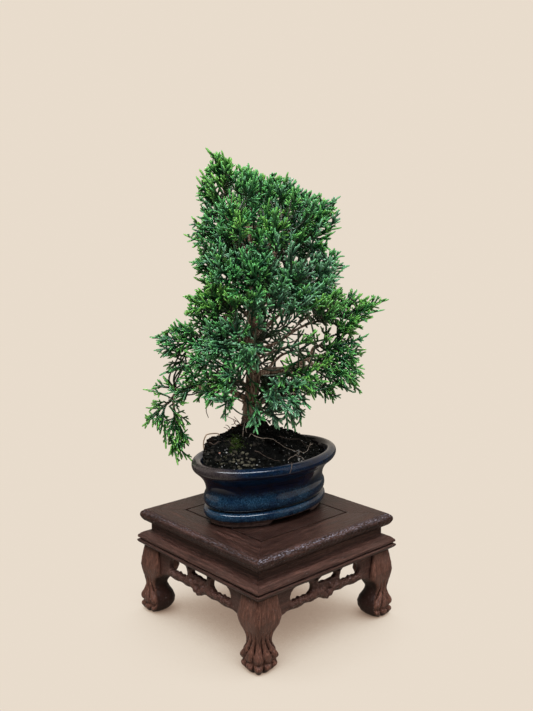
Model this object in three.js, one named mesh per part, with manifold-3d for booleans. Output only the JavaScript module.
// A juniper bonsai in an oval glazed pot, on a square carved rosewood stand.
// Millimetres, +Z up. The origin is on the floor under the middle of the stand,
// and the stand's sides run along X and Y.

import * as THREE from 'three';
import { mergeVertices } from 'three/addons/utils/BufferGeometryUtils.js';
import Module from 'manifold-3d';

const wasm = await Module();
wasm.setup();

// Driving dimensions

const SEAT_GAP = 0.3; // between pieces that touch on the real thing
const MITRE_SETBACK = 0.2; // taken off each side of a mitre

const STAND_HALF = 86; // half the width over the lip of the moulding
const STAND_TOP = 98.5;
const PANEL_HALF = 52.4;
const PANEL_THICKNESS = 6;
const WAIST_TOP = 84.6;
const FRAME_BOTTOM = 63.7; // underside of the moulding, over the legs and aprons
const LEG_SEAM = 60; // where an apron meets a leg, from the middle of a side

const POT_CENTRE = [-3, 3];
const POT_HALF_WIDTH = 52.3; // over the rim, along X
const POT_HALF_LENGTH = 76.7; // over the rim, along Y
const POT_FOOT = 4.5; // height of the two arc feet
const POT_FLOOR = 11; // inside floor, above the stand
const POT_FOOT_CUT = 21; // half the opening between the feet, along a long side
const DRAIN_RADIUS = 5;
const DRAIN_OFFSET = 28;

const SOIL_EDGE = 47.5; // above the stand
const SOIL_PEAK = 80;
const MOUND_FULLNESS = 3.5; // higher is flatter on top and steeper at the rim
const MOUND_LEAN = 0.6; // share of the way from the pot's middle to the trunk that the top leans

const FRONT_TURN = THREE.MathUtils.degToRad(47.85); // from +X to the right hand of the front view
const CROWN_LIMIT = 85.6; // foliage stays this near the middle line, along X and Y
const CORD_CLEARANCE = 0.4; // between foliage of different sprays
const SEED = 71;

// The tree is laid out as the front view shows it: right, away from the viewer, up.
const TRUNK = {
  route: [[-13, 0, 150], [-13.5, 0, 180], [-15, 0, 200], [-11, 0, 225], [-13, 3, 260],
    [-10, 0, 300], [-14, -2, 340], [-20, 0, 368], [-32, -1, 386]],
  radii: [7.6, 7.2, 5, 6.2, 5.4, 4.8, 4, 3.2, 2.2],
};
const LIMBS = {
  low_left: {
    route: [[-13, 0, 203], [-32, 1, 212], [-50, 3, 214.5], [-70, 5, 214], [-80, 6, 209]],
    radii: [3.4, 2.9, 2.6, 2.4, 2],
  },
  low_right: {
    route: [[-11, 0, 228], [4, -3, 231], [24, -5, 235], [36, -6, 243]],
    radii: [3.6, 3, 2.6, 2.2],
  },
  high_left: {
    route: [[-12, 2, 256], [-24, 0, 268], [-36, -3, 279]],
    radii: [3, 2.6, 2.2],
  },
};

// Each spray: name, start of its stem, its tip, its half-width, and the limb that carries it.
const SPRAYS = [
  ['apex_left', [-36, -2, 392], [-47, -4, 430], 12, 'trunk'],
  ['apex_middle', [-13, -9, 383], [-16, -11, 414], 14, 'trunk'],
  ['apex_right', [-1, 3, 378], [15, 6, 409], 14, 'trunk'],
  ['crown_right', [15, -6, 371], [34, -12, 395], 14, 'trunk'],
  ['shoulder_right', [32, 8, 362], [68, 14, 386], 13, 'trunk'],
  ['shoulder_left', [-43, 7, 376], [-62, 8, 408], 13, 'trunk'],
  ['left_upper', [-38, -6, 357], [-74, -10, 350], 14, 'trunk'],
  ['front_upper_left', [-27, -16, 349], [-28, -50, 377], 15, 'trunk'],
  ['front_upper_right', [2, -16, 348], [11, -57, 364], 16, 'trunk'],
  ['right_upper', [27, -8, 347], [67, -14, 366], 14, 'trunk'],
  ['right_middle', [33, 4, 314], [75, 6, 330], 15, 'trunk'],
  ['left_middle_upper', [-32, -1, 325], [-68, -6, 327], 13, 'trunk'],
  ['left_middle', [-33, -10, 294], [-76, -16, 300], 17, 'high_left'],
  ['front_middle', [-8, -20, 311], [-11, -62, 332], 17, 'trunk'],
  ['front_middle_right', [14, -16, 305], [25, -54, 324], 16, 'trunk'],
  ['front_middle_left', [-26, -20, 314], [-42, -52, 330], 16, 'trunk'],
  ['left_low', [-50, -6, 262], [-106, 0, 264], 15, 'high_left'],
  ['front_left_low', [-27, -20, 263], [-43, -58, 267], 17, 'trunk'],
  ['left_under', [-28, -18, 226], [-56, -34, 210], 14, 'trunk'],
  ['drop_upper', [-84, 7, 214], [-111, 8, 219], 10, 'low_left'],
  ['drop_out', [-89, 6, 200], [-115, 6, 176], 11, 'low_left'],
  ['drop_down', [-84, 4, 195], [-79, 4, 144], 12, 'low_left'],
  ['front_low', [-7, -22, 262], [-17, -50, 236], 15, 'trunk'],
  ['right_low_tip', [47, 2, 276], [109, 0, 299], 13, 'trunk'],
  ['right_low', [46, -8, 255], [94, -8, 262], 16, 'low_right'],
  ['right_low_under', [46, -9, 237], [93, -10, 226], 14, 'low_right'],
  ['right_low_drop', [38, 0, 220], [66, -2, 203], 11, 'low_right'],
  ['front_right_low', [18, -22, 238], [42, -55, 233], 16, 'low_right'],
  ['right_hanging', [26, -14, 212], [35, -24, 180], 10, 'low_right'],
  ['skirt_front', [3, -17, 210], [7, -34, 188], 11, 'trunk'],
  ['back_crown', [-13, 22, 373], [-8, 48, 399], 16, 'trunk'],
  ['back_upper_left', [-28, 24, 342], [-54, 50, 351], 16, 'trunk'],
  ['back_upper_right', [16, 26, 340], [44, 54, 351], 16, 'trunk'],
  ['back_middle', [-4, 32, 314], [-4, 72, 325], 18, 'trunk'],
  ['back_left', [-32, 26, 291], [-56, 52, 288], 17, 'trunk'],
  ['back_right', [24, 28, 287], [52, 57, 286], 18, 'trunk'],
  ['back_low_left', [-30, 28, 249], [-54, 54, 241], 17, 'trunk'],
  ['back_low', [-4, 34, 254], [2, 74, 244], 18, 'trunk'],
  ['back_low_right', [22, 26, 244], [56, 52, 236], 18, 'trunk'],
];

const TWIG_RISE = 0.45; // a twig leaves the trunk this much of its run below its spray
const TRUNK_TWIG_RANGE = [196, 378]; // heights between which twigs leave the trunk
const TWIG_RADII = [2, 1.7];
const STEM_RADII = [1.5, 4, 1]; // the slim core of a spray
const CORD_WIDTH = 2.5; // of a scale-leaved shoot
const CORD_THICKNESS = 2;
const CORD_RADIUS = Math.hypot(CORD_WIDTH, CORD_THICKNESS) / 2;
const SHOOT_LENGTH = 10;
const SHOOT_SLANT = [0.77, 0.64]; // forward and sideways share of a shoot
const SHORTEST_FORKED = 7; // side twigs shorter than this are bare
const SIDE_TWIGS = 5;
const GOLDEN_ANGLE = THREE.MathUtils.degToRad(137.5);

// Materials

const finish = (color, roughness, metalness = 0) => (
  new THREE.MeshStandardMaterial({ color, roughness, metalness })
);
const rosewood = finish(0x3a1710, 0.38);
const rosewoodPanel = finish(0x2c130f, 0.42);
const glaze = finish(0x141a2c, 0.12);
const darkSoil = finish(0x241b15, 0.95);
const bark = finish(0x6b4a38, 0.85);
const wire = finish(0xa58762, 0.5);
const greens = [0x2f6b34, 0x3c7a36, 0x276046, 0x4b8a38].map((color) => finish(color, 0.6));

// Solids

// Merges a geometry's corners and drops the flat slivers that this leaves on an axis.
function toSolid(geometry) {
  const bare = geometry.clone();
  bare.deleteAttribute('normal');
  bare.deleteAttribute('uv');
  const merged = mergeVertices(bare, 1e-4);
  const index = merged.index.array;
  const triVerts = [];
  for (let i = 0; i < index.length; i += 3) {
    const [a, b, c] = [index[i], index[i + 1], index[i + 2]];
    if (a !== b && b !== c && c !== a) triVerts.push(a, b, c);
  }
  return new wasm.Manifold(new wasm.Mesh({
    numProp: 3,
    vertProperties: new Float32Array(merged.attributes.position.array),
    triVerts: new Uint32Array(triVerts),
  }));
}

function fromSolid(solid) {
  const { vertProperties, triVerts } = solid.getMesh();
  const geometry = new THREE.BufferGeometry();
  geometry.setAttribute('position', new THREE.BufferAttribute(new Float32Array(vertProperties), 3));
  geometry.setIndex(new THREE.BufferAttribute(new Uint32Array(triVerts), 1));
  geometry.computeVertexNormals();
  return geometry;
}

const fuse = (geometries) => fromSolid(wasm.Manifold.union(geometries.map(toSolid)));

function cut(geometry, cutters) {
  const tool = wasm.Manifold.union(cutters.map(toSolid));
  return fromSolid(toSolid(geometry).subtract(tool));
}

// Moves every corner of a geometry to where the rule puts it.
function reshape(geometry, rule) {
  const at = geometry.attributes.position;
  for (let i = 0; i < at.count; i += 1) {
    at.setXYZ(i, ...rule(at.getX(i), at.getY(i), at.getZ(i)));
  }
  return geometry;
}

// A round-sectioned tube bent along a curve, with a radius given for each ring.
function bentTube(curve, radii, sides) {
  const steps = radii.length - 1;
  const frames = curve.computeFrenetFrames(steps, false);
  return reshape(new THREE.CylinderGeometry(1, 1, 1, sides, steps), (x, y, z) => {
    const ring = Math.round((y + 0.5) * steps);
    return curve.getPointAt(ring / steps)
      .addScaledVector(frames.binormals[ring], x * radii[ring])
      .addScaledVector(frames.normals[ring], z * radii[ring])
      .toArray();
  });
}

const whole = new THREE.Group();

function place(parent, name, geometry, material, turn = 0) {
  const mesh = new THREE.Mesh(geometry, material);
  mesh.name = name;
  mesh.rotation.z = turn;
  parent.add(mesh);
  return mesh;
}

// Stand: four mitred rails round a panel, on four mitred mouldings

const SIDES = ['right_front', 'right_back', 'left_back', 'left_front'];
const CORNERS = ['right', 'back', 'left', 'front'];

// A bar for the +X side from a section in (distance from the middle, height), mitred at its ends.
function mitredBar(section) {
  const bar = new THREE.ExtrudeGeometry(section, { depth: 2, bevelEnabled: false, curveSegments: 3 });
  return reshape(bar, (half, up, end) => [half, (1 - end) * (half - MITRE_SETBACK), up]);
}

function railSection() {
  const inner = PANEL_HALF + 0.8;
  const ledgeInner = PANEL_HALF - 5.4;
  const ledgeTop = STAND_TOP - PANEL_THICKNESS - SEAT_GAP;
  const section = new THREE.Shape();
  section.moveTo(ledgeInner, WAIST_TOP);
  section.lineTo(STAND_HALF - 10, WAIST_TOP);
  section.quadraticCurveTo(STAND_HALF - 9.4, WAIST_TOP + 1.6, STAND_HALF - 7, WAIST_TOP + 1.8);
  section.quadraticCurveTo(STAND_HALF - 2.3, STAND_TOP - 9.5, STAND_HALF - 2.3, STAND_TOP - 4.9);
  section.quadraticCurveTo(STAND_HALF - 2.3, STAND_TOP - 0.2, STAND_HALF - 5.5, STAND_TOP);
  section.lineTo(inner, STAND_TOP);
  section.lineTo(inner, ledgeTop);
  section.lineTo(ledgeInner, ledgeTop);
  return section;
}

function mouldingSection() {
  const top = WAIST_TOP - SEAT_GAP;
  const waist = STAND_HALF - 10;
  const section = new THREE.Shape();
  section.moveTo(STAND_HALF - 24, FRAME_BOTTOM);
  section.lineTo(STAND_HALF - 4.3, FRAME_BOTTOM);
  section.lineTo(STAND_HALF, FRAME_BOTTOM + 4.2);
  section.lineTo(STAND_HALF - 1.2, FRAME_BOTTOM + 6);
  section.lineTo(STAND_HALF - 0.5, FRAME_BOTTOM + 7.3);
  section.quadraticCurveTo(STAND_HALF - 1, FRAME_BOTTOM + 12.6, STAND_HALF - 6, FRAME_BOTTOM + 13.1);
  section.quadraticCurveTo(waist + 0.4, FRAME_BOTTOM + 13.4, waist, FRAME_BOTTOM + 15.1);
  section.lineTo(waist, top);
  section.lineTo(STAND_HALF - 24, top);
  return section;
}

// Each row: height, distance of the outer faces from the middle, width of a face,
// and how far the paw's toes are carved in.
const LEG_ROWS = [
  [0, 80.2, 14.5, 0.5],
  [3, 82.6, 18, 1.4],
  [7, 84.8, 22.4, 2],
  [13.5, 85.5, 23, 1.8],
  [28, 82.4, 15.6, 0.6],
  [36, 83.3, 20.8, 0.2],
  [44.5, 84.7, 24.7, 0],
  [FRAME_BOTTOM - SEAT_GAP, 81.7, 21.7, 0],
];
const LEG_SQUARENESS = 0.4; // 1 is round, 0 is square

// The leg of the +X +Y corner: a bowed post on a carved paw.
function leg() {
  const steps = LEG_ROWS.length - 1;
  const outward = Math.PI / 4;
  return reshape(new THREE.CylinderGeometry(1, 1, 1, 16, steps), (x, y, z) => {
    const [up, outer, width, toes] = LEG_ROWS[Math.round((y + 0.5) * steps)];
    const radius = Math.hypot(x, z);
    const turn = Math.atan2(x, z);
    const facing = Math.max(0, Math.cos(turn - outward));
    const carve = toes * facing * Math.sin(4 * (turn - outward)) ** 2;
    const squared = (value) => Math.sign(value) * Math.abs(value) ** LEG_SQUARENESS;
    const reach = radius * (width / 2 - carve);
    const middle = outer - width / 2;
    return [middle + reach * squared(Math.cos(turn)), middle + reach * squared(Math.sin(turn)), up];
  });
}

const APRON_FACE = 82.2; // distance of an apron's face from the middle
const APRON_THICKNESS = 9.5;
const APRON_HOLE_TOP = 61.5;

// One bean-shaped hole of an apron, on the side that the sign gives.
function beanHole(side) {
  const hole = new THREE.Path();
  hole.moveTo(side * 19.5, 57.5);
  hole.quadraticCurveTo(side * 19.5, APRON_HOLE_TOP, side * 24, APRON_HOLE_TOP);
  hole.lineTo(side * 39, APRON_HOLE_TOP);
  hole.quadraticCurveTo(side * 43, APRON_HOLE_TOP, side * 43, 57);
  hole.quadraticCurveTo(side * 42, 51.8, side * 36.5, 52);
  hole.quadraticCurveTo(side * 33, 52.2, side * 31.5, 54.5);
  hole.quadraticCurveTo(side * 29, 51.6, side * 25, 52.2);
  hole.quadraticCurveTo(side * 20, 53, side * 19.5, 57.5);
  return hole;
}

// The middle hole: a slim slot with pointed ends.
function slotHole() {
  const [halfWidth, point, height] = [9.2, 1.8, 3.8];
  const hole = new THREE.Path();
  hole.moveTo(-halfWidth, APRON_HOLE_TOP);
  hole.lineTo(-halfWidth - point, APRON_HOLE_TOP - height / 2);
  hole.lineTo(-halfWidth, APRON_HOLE_TOP - height);
  hole.lineTo(halfWidth, APRON_HOLE_TOP - height);
  hole.lineTo(halfWidth + point, APRON_HOLE_TOP - height / 2);
  hole.lineTo(halfWidth, APRON_HOLE_TOP);
  return hole;
}

// The apron of the +X side, drawn in (along the side, height).
function apron() {
  const end = LEG_SEAM - SEAT_GAP;
  const top = FRAME_BOTTOM - SEAT_GAP;
  const outline = new THREE.Shape();
  outline.moveTo(-end, top);
  outline.lineTo(-end, 39.5);
  outline.quadraticCurveTo(-54, 40, -48, 43.6);
  outline.quadraticCurveTo(-36, 41.6, -26, 43.4);
  outline.quadraticCurveTo(-17, 42, -9, 43.6);
  outline.quadraticCurveTo(0, 37.8, 9, 43.6);
  outline.quadraticCurveTo(17, 42, 26, 43.4);
  outline.quadraticCurveTo(36, 41.6, 48, 43.6);
  outline.quadraticCurveTo(54, 40, end, 39.5);
  outline.lineTo(end, top);
  outline.holes.push(beanHole(-1), slotHole(), beanHole(1));
  const plate = new THREE.ExtrudeGeometry(outline, {
    depth: APRON_THICKNESS, bevelEnabled: false, curveSegments: 2,
  });
  return reshape(plate, (along, up, inward) => [APRON_FACE - APRON_THICKNESS + inward, along, up]);
}

function buildStand() {
  const panel = new THREE.BoxGeometry(2 * PANEL_HALF, 2 * PANEL_HALF, PANEL_THICKNESS);
  place(whole, 'stand_panel', panel, rosewoodPanel)
    .position.set(0, 0, STAND_TOP - PANEL_THICKNESS / 2);
  for (let i = 0; i < SIDES.length; i += 1) {
    const turn = (i * Math.PI) / 2;
    place(whole, `stand_rail_${SIDES[i]}`, mitredBar(railSection()), rosewood, turn);
    place(whole, `stand_moulding_${SIDES[i]}`, mitredBar(mouldingSection()), rosewood, turn);
    place(whole, `stand_apron_${SIDES[i]}`, apron(), rosewood, turn);
    place(whole, `stand_leg_${CORNERS[i]}`, leg(), rosewood, turn);
  }
}

// Pot and soil: round profiles stretched to an oval

const OVAL_STRETCH = POT_HALF_LENGTH - POT_HALF_WIDTH;
const OVAL_BLEND = 30; // inside this radius the stretch fades out
const POT_SEGMENTS = 24; // the soil has as many, so that its facets follow the pot's

// Turns a profile in (radius, height) round the pot's axis, longer along Y.
function ovalLathe(profile) {
  return reshape(new THREE.LatheGeometry(profile, POT_SEGMENTS), (x, up, z) => {
    const radius = Math.hypot(x, z);
    const stretch = radius > 0 ? 1 + (OVAL_STRETCH * Math.min(1, radius / OVAL_BLEND)) / radius : 1;
    return [x, -z * stretch, up];
  });
}

// The inside of the pot's wall from the rim down to the floor, set in by a clearance.
function wallInside(clearance) {
  return [[10, 50.5], [13.6, 44], [18.4, 33], [19.4, 20], [22, POT_FLOOR]].map(
    ([inset, up]) => new THREE.Vector2(POT_HALF_WIDTH - inset - clearance, up + clearance),
  );
}

function potProfile() {
  const rim = POT_HALF_WIDTH;
  const outside = new THREE.Path();
  outside.moveTo(0, POT_FOOT);
  outside.lineTo(rim - 24, POT_FOOT);
  outside.lineTo(rim - 23.5, 0);
  outside.lineTo(rim - 15.5, 0);
  outside.lineTo(rim - 14.5, POT_FOOT);
  outside.quadraticCurveTo(rim - 9.6, 8.2, rim - 13.6, 12);
  outside.quadraticCurveTo(rim - 11.6, 14, rim - 11.6, 18);
  outside.bezierCurveTo(rim - 13.6, 25, rim - 13.6, 32, rim - 9, 40);
  outside.quadraticCurveTo(rim - 6, 45, rim - 2.4, 47.2);
  outside.quadraticCurveTo(rim + 1, 50.5, rim - 0.6, 53);
  outside.quadraticCurveTo(rim - 4.5, 56, rim - 8.4, 53);
  return [...outside.getPoints(2), ...wallInside(0), new THREE.Vector2(0, POT_FLOOR)];
}

function pot() {
  const footCut = new THREE.BoxGeometry(3 * POT_HALF_WIDTH, 2 * POT_FOOT_CUT, 2 * POT_FOOT - 0.2);
  const drains = [-1, 1].map((side) => (
    new THREE.CylinderGeometry(DRAIN_RADIUS, DRAIN_RADIUS, 3 * POT_FLOOR, 10)
      .rotateX(Math.PI / 2).translate(0, side * DRAIN_OFFSET, POT_FLOOR)
  ));
  return cut(ovalLathe(potProfile()), [footCut, ...drains]);
}

// From the tree's layout (right, away, up) to the stand's X, Y and Z.
function treeToStand([right, away, up]) {
  return new THREE.Vector3(right, away, up).applyAxisAngle(new THREE.Vector3(0, 0, 1), FRONT_TURN);
}

const potBase = STAND_TOP + SEAT_GAP;
const WIRE_LOOP = {
  route: [[-49, -2, 148], [-49, -2, 156], [-49, -2, 164], [-54.5, -2, 167], [-55.5, -2, 170.5],
    [-53.5, -2, 172.8], [-45, -2, 174.4], [-42.4, -2, 173.6], [-42, -2, 172], [-42, -2, 161], [-42, -2, 150]],
  radius: 0.55,
};
const HOLE_CLEARANCE = 0.35;

// The root ball fills the pot and rises to the trunk.
function soil() {
  const edge = wallInside(SEAT_GAP).reverse();
  const edgeRadius = POT_HALF_WIDTH - 12.6;
  const bed = edge.filter((point) => point.y < SOIL_EDGE);
  const rings = [1, 0.9, 0.74, 0.5, 0].map((share) => (
    new THREE.Vector2(edgeRadius * share, SOIL_EDGE + (SOIL_PEAK - SOIL_EDGE) * (1 - share ** MOUND_FULLNESS))
  ));
  const profile = [new THREE.Vector2(0, POT_FLOOR + SEAT_GAP), ...bed, ...rings];
  const trunkFoot = treeToStand(TRUNK.route[1]);
  const lean = [trunkFoot.x - POT_CENTRE[0], trunkFoot.y - POT_CENTRE[1]].map((run) => run * MOUND_LEAN);
  const mound = reshape(ovalLathe(profile), (x, y, up) => {
    const rise = Math.max(0, (up - SOIL_EDGE) / (SOIL_PEAK - SOIL_EDGE));
    const clod = 1.4 * Math.sin(x * 0.31 + 1) * Math.sin(y * 0.27) * Math.sqrt(rise) * (1 - rise);
    return [x + lean[0] * rise, y + lean[1] * rise, up + clod];
  });
  return mound;
}

function trunkHole() {
  const [foot, top] = [TRUNK.route[0], TRUNK.route[1]];
  const middle = treeToStand([(foot[0] + top[0]) / 2, 0, 0]);
  const radius = TRUNK.radii[0] + HOLE_CLEARANCE + 0.5;
  const depth = 60;
  return new THREE.CylinderGeometry(radius, radius, depth, 12).rotateX(Math.PI / 2)
    .translate(middle.x, middle.y, foot[2] - SEAT_GAP + depth / 2);
}

// Plain holes for the two ends of the wire loop.
function wireHoles() {
  const radius = WIRE_LOOP.radius + HOLE_CLEARANCE;
  const depth = 40;
  return [WIRE_LOOP.route[0], WIRE_LOOP.route.at(-1)].map((end) => {
    const middle = treeToStand(end);
    return new THREE.CylinderGeometry(radius, radius, depth, 6).rotateX(Math.PI / 2)
      .translate(middle.x, middle.y, middle.z - SEAT_GAP + depth / 2);
  });
}

function buildPotAndSoil() {
  place(whole, 'oval_pot', pot(), glaze).position.set(...POT_CENTRE, potBase);
  const mound = soil().translate(...POT_CENTRE, potBase);
  place(whole, 'soil_mound', cut(mound, [trunkHole(), ...wireHoles()]), darkSoil);
}

// Wood: the trunk, its limbs and a twig to each spray

const vector = (point) => new THREE.Vector3(...point);
const routeCurve = (route) => new THREE.CatmullRomCurve3(route.map(vector));

// The stem of a spray arches over where it hangs, and turns up where it rises.
function stemCurve(start, tip) {
  const length = start.distanceTo(tip);
  const bend = tip.z < start.z ? 0.12 : -0.08;
  const middle = start.clone().lerp(tip, 0.5);
  middle.z += bend * length;
  return new THREE.QuadraticBezierCurve3(start, middle, tip);
}

// Where a spray's twig leaves the wood that carries it.
function twigRoot(start, carrier) {
  if (carrier !== 'trunk') {
    const points = routeCurve(LIMBS[carrier].route).getSpacedPoints(24);
    return points.reduce((best, point) => (
      point.distanceTo(start) < best.distanceTo(start) ? point : best));
  }
  const points = routeCurve(TRUNK.route).getSpacedPoints(60);
  const reach = Math.hypot(start.x - points[30].x, start.y - points[30].y);
  const height = THREE.MathUtils.clamp(start.z - TWIG_RISE * reach, ...TRUNK_TWIG_RANGE);
  return points.reduce((best, point) => (
    Math.abs(point.z - height) < Math.abs(best.z - height) ? point : best));
}

function twigCurve(spray) {
  const root = twigRoot(spray.start, spray.carrier);
  const heading = spray.stem.getTangentAt(0);
  const end = spray.start.clone().addScaledVector(heading, -SEAT_GAP);
  const pull = root.distanceTo(end) * 0.4;
  const leave = end.clone().sub(root).setZ(0).normalize().multiplyScalar(pull);
  const arrive = end.clone().addScaledVector(heading, -pull);
  return new THREE.CubicBezierCurve3(root, root.clone().add(leave), arrive, end);
}

const sprays = SPRAYS.map(([name, start, tip, halfWidth, carrier]) => {
  const spray = { name, start: vector(start), tip: vector(tip), halfWidth, carrier };
  spray.stem = stemCurve(spray.start, spray.tip);
  spray.twig = twigCurve(spray);
  return spray;
});

function buildWood(tree) {
  const middleRadius = (TWIG_RADII[0] + TWIG_RADII[1]) / 2;
  const limbs = Object.values(LIMBS).map(({ route, radii }) => bentTube(routeCurve(route), radii, 5));
  const twigs = sprays.map(({ twig }) => (
    bentTube(twig, [TWIG_RADII[0], middleRadius, TWIG_RADII[1]], 3)));
  const trunk = bentTube(routeCurve(TRUNK.route), TRUNK.radii, 8);
  place(tree, 'trunk_and_branches', fuse([trunk, ...limbs, ...twigs]), bark);
  const loop = bentTube(routeCurve(WIRE_LOOP.route), Array(21).fill(WIRE_LOOP.radius), 4);
  place(tree, 'wire_loop', loop, wire);
}

// Foliage: each spray is a slim core with side twigs and shoots round it

// A small seeded random generator, from 0 to 1.
function seeded(seed) {
  let state = seed;
  return () => {
    state = (state + 0x6d2b79f5) | 0;
    let mixed = Math.imul(state ^ (state >>> 15), 1 | state);
    mixed = (mixed + Math.imul(mixed ^ (mixed >>> 7), 61 | mixed)) ^ mixed;
    return ((mixed ^ (mixed >>> 14)) >>> 0) / 4294967296;
  };
}

const random = seeded(SEED);
const cords = []; // every straight run of wood or shoot so far, with its radius and its node

// The radius a share of the way along a tube whose rings have these radii.
function radiusAt(radii, share) {
  const ring = share * (radii.length - 1);
  const low = Math.min(Math.floor(ring), radii.length - 2);
  return THREE.MathUtils.lerp(radii[low], radii[low + 1], ring - low);
}

function addCurve(curve, radii, owner) {
  const runs = 8;
  for (let i = 0; i < runs; i += 1) {
    const [from, to] = [i / runs, (i + 1) / runs];
    const line = new THREE.Line3(curve.getPointAt(from), curve.getPointAt(to));
    cords.push({ line, radius: Math.max(radiusAt(radii, from), radiusAt(radii, to)), owner });
  }
}

// Whether a cord stays inside the crown, off the pot and clear of every other node.
function isClear(line, radius, owner) {
  const tip = treeToStand(line.end.toArray());
  const reach = Math.max(Math.abs(tip.x), Math.abs(tip.y));
  const highest = sprays[0].tip.z;
  if (reach + radius > CROWN_LIMIT || tip.z + radius > highest) return false;
  const overPot = ((tip.x - POT_CENTRE[0]) / (POT_HALF_WIDTH + 4)) ** 2
    + ((tip.y - POT_CENTRE[1]) / (POT_HALF_LENGTH + 4)) ** 2 < 1;
  if (overPot && tip.z < STAND_TOP + SOIL_PEAK - 4) return false;
  return cords.every((other) => other.owner === owner
    || Math.sqrt(line.distanceSqToLine3(other.line)) > radius + other.radius + CORD_CLEARANCE);
}

// A side twig with its shoots: the twig's own line first, then one line for each shoot.
function frondLines(start, frame, length, shoots) {
  const toPoint = (along, across) => start.clone()
    .addScaledVector(frame.along, along).addScaledVector(frame.across, across);
  const lines = [new THREE.Line3(start, toPoint(length, 0))];
  for (const { at, reach, side } of shoots) {
    const tip = toPoint(at + reach * SHOOT_SLANT[0], side * reach * SHOOT_SLANT[1]);
    lines.push(new THREE.Line3(toPoint(at, 0), tip));
  }
  return lines;
}

// The forked outline of a side twig and its shoots, drawn in (along, across) from its root.
function frondOutline(length, shoots) {
  const half = CORD_WIDTH / 2;
  const base = half / SHOOT_SLANT[1];
  const forks = (side) => shoots.filter((shoot) => shoot.side === side).flatMap(({ at, reach }) => [
    [at - base, side * half],
    [at + reach * SHOOT_SLANT[0], side * reach * SHOOT_SLANT[1]],
    [at + base, side * half],
  ]);
  const edge = (side) => (shoots.length ? forks(side) : [[length * 0.3, side * half]]);
  const corners = [[0, 0], ...edge(-1), [length, 0], ...edge(1).reverse()];
  return new THREE.Shape(corners.map(([along, across]) => new THREE.Vector2(along, across)));
}

// The outline thickened to the cords' size and turned to where the frond grows.
function frondGeometry(start, frame, length, shoots) {
  const frond = new THREE.ExtrudeGeometry(frondOutline(length, shoots), {
    depth: CORD_THICKNESS, bevelEnabled: false,
  });
  frond.translate(0, 0, -CORD_THICKNESS / 2);
  const through = frame.along.clone().cross(frame.across);
  const turn = new THREE.Matrix4().makeBasis(frame.along, frame.across, through);
  return frond.applyMatrix4(turn.setPosition(start));
}

// Tries a frond as it is, then turned about the stem, shorter and barer, until one way is clear.
function fitFrond(start, heading, length, axis, roll, owner) {
  const tries = [[1, 0], [1, 30], [1, -30], [0.8, 0], [0.8, 55], [0.8, -55], [0.6, 0], [0.6, 85]];
  for (const bare of [false, true]) {
    for (const [share, degrees] of tries) {
      const along = heading.clone().applyAxisAngle(axis, THREE.MathUtils.degToRad(degrees));
      const across = along.clone().cross(axis).normalize().applyAxisAngle(along, roll);
      const reach = length * share;
      const shoots = bare ? [] : shootsAlong(reach);
      const lines = frondLines(start, { along, across }, reach, shoots);
      if (lines.every((line) => isClear(line, CORD_RADIUS, owner))) {
        for (const line of lines) cords.push({ line, radius: CORD_RADIUS, owner });
        return frondGeometry(start, { along, across }, reach, shoots);
      }
    }
  }
  return null;
}

// Shoots alternate along a side twig and shorten towards its tip.
function shootsAlong(length) {
  if (length < SHORTEST_FORKED) return [];
  const count = length > 14 ? 3 : 2;
  return Array.from({ length: count }, (_, i) => ({
    at: length * (0.3 + (0.44 * i) / (count - 1)),
    reach: Math.min(SHOOT_LENGTH, length * 0.6) * (1 - 0.12 * i),
    side: i % 2 ? -1 : 1,
  }));
}

function sprayFronds(spray) {
  const fronds = [];
  const side = spray.tip.clone().sub(spray.start).cross(new THREE.Vector3(0, 0, 1)).normalize();
  for (let i = 0; i < SIDE_TWIGS; i += 1) {
    const share = 0.2 + (0.74 * (i + 0.5 * random())) / (SIDE_TWIGS - 0.5);
    const start = spray.stem.getPointAt(share);
    const axis = spray.stem.getTangentAt(share);
    const lean = THREE.MathUtils.degToRad(60 - 28 * share);
    const outward = side.clone().applyAxisAngle(axis, i * GOLDEN_ANGLE + 0.5 * random());
    const heading = axis.clone().multiplyScalar(Math.cos(lean))
      .addScaledVector(outward, Math.sin(lean)).normalize();
    const fullness = Math.sin(Math.PI * (0.22 + 0.62 * share));
    const length = spray.halfWidth * (1.4 + 0.25 * random()) * fullness;
    fronds.push(fitFrond(start, heading, length, axis, Math.PI * random(), spray.name));
  }
  return fronds.filter(Boolean);
}

function buildFoliage(tree) {
  for (const { route, radii } of [TRUNK, ...Object.values(LIMBS)]) {
    addCurve(routeCurve(route), radii, 'wood');
  }
  for (const spray of sprays) {
    addCurve(spray.twig, TWIG_RADII, 'wood');
    addCurve(spray.stem, STEM_RADII, spray.name);
  }
  sprays.forEach((spray, i) => {
    const geometry = fuse([bentTube(spray.stem, STEM_RADII, 4), ...sprayFronds(spray)]);
    place(tree, `spray_${spray.name}`, geometry, greens[i % greens.length]);
  });
}

buildStand();
buildPotAndSoil();
const tree = new THREE.Group();
tree.rotation.z = FRONT_TURN;
whole.add(tree);
buildWood(tree);
buildFoliage(tree);

export default whole;
